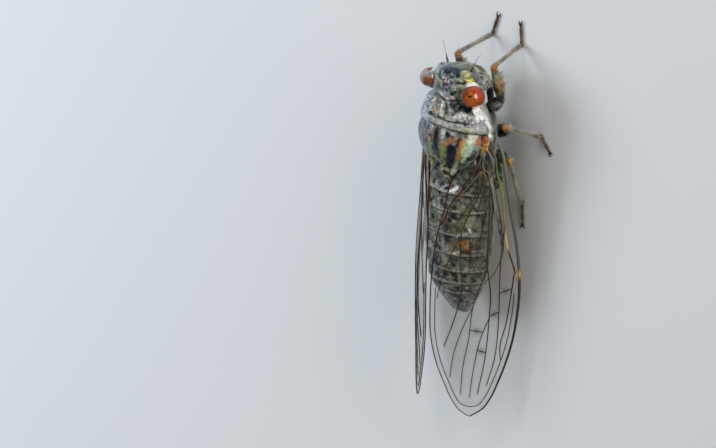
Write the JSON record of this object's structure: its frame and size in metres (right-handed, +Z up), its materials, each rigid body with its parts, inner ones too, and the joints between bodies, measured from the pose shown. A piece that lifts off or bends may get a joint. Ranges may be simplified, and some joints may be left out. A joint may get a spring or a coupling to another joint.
{
  "type": "cicada",
  "caption": "Life-size still model of a cicada at rest, with its veined wings folded like a roof over its back.",
  "frame": {"origin": "on the floor, under the middle of the box round the insect", "axes": "+X to the insect's right, +Y forwards along its body, +Z up"},
  "size_m": [0.016, 0.0415, 0.009],
  "materials": {
    "chitin": "mottled grey-green cuticle with a low sheen",
    "leg": "ochre and brown cuticle with a low sheen",
    "eye": "glossy amber red",
    "wing": "clear glossy membrane with dark veins"
  },
  "bodies": {
    "root": {"abdomen_1": "chitin", "abdomen_2": "chitin", "abdomen_3": "chitin", "abdomen_4": "chitin", "abdomen_5": "chitin", "abdomen_6": "chitin", "abdomen_7": "chitin", "abdomen_8": "chitin", "antenna_left": "chitin", "antenna_right": "chitin", "eye_left": "eye", "eye_right": "eye", "fore_coxa_left": "chitin", "fore_coxa_right": "chitin", "fore_femur_left": "leg", "fore_femur_right": "leg", "fore_tarsus_left": "leg", "fore_tarsus_right": "leg", "fore_tibia_left": "leg", "fore_tibia_right": "leg", "forewing_left": "wing", "forewing_right": "wing", "head": "chitin", "hind_coxa_left": "chitin", "hind_coxa_right": "chitin", "hind_femur_left": "leg", "hind_femur_right": "leg", "hind_tarsus_left": "leg", "hind_tarsus_right": "leg", "hind_tibia_left": "leg", "hind_tibia_right": "leg", "hindwing_left": "wing", "hindwing_right": "wing", "mesonotum": "chitin", "middle_coxa_left": "chitin", "middle_coxa_right": "chitin", "middle_femur_left": "leg", "middle_femur_right": "leg", "middle_tarsus_left": "leg", "middle_tarsus_right": "leg", "middle_tibia_left": "leg", "middle_tibia_right": "leg", "pronotum": "chitin", "rostrum": "chitin", "thorax": "chitin"}
  },
  "joints": []
}
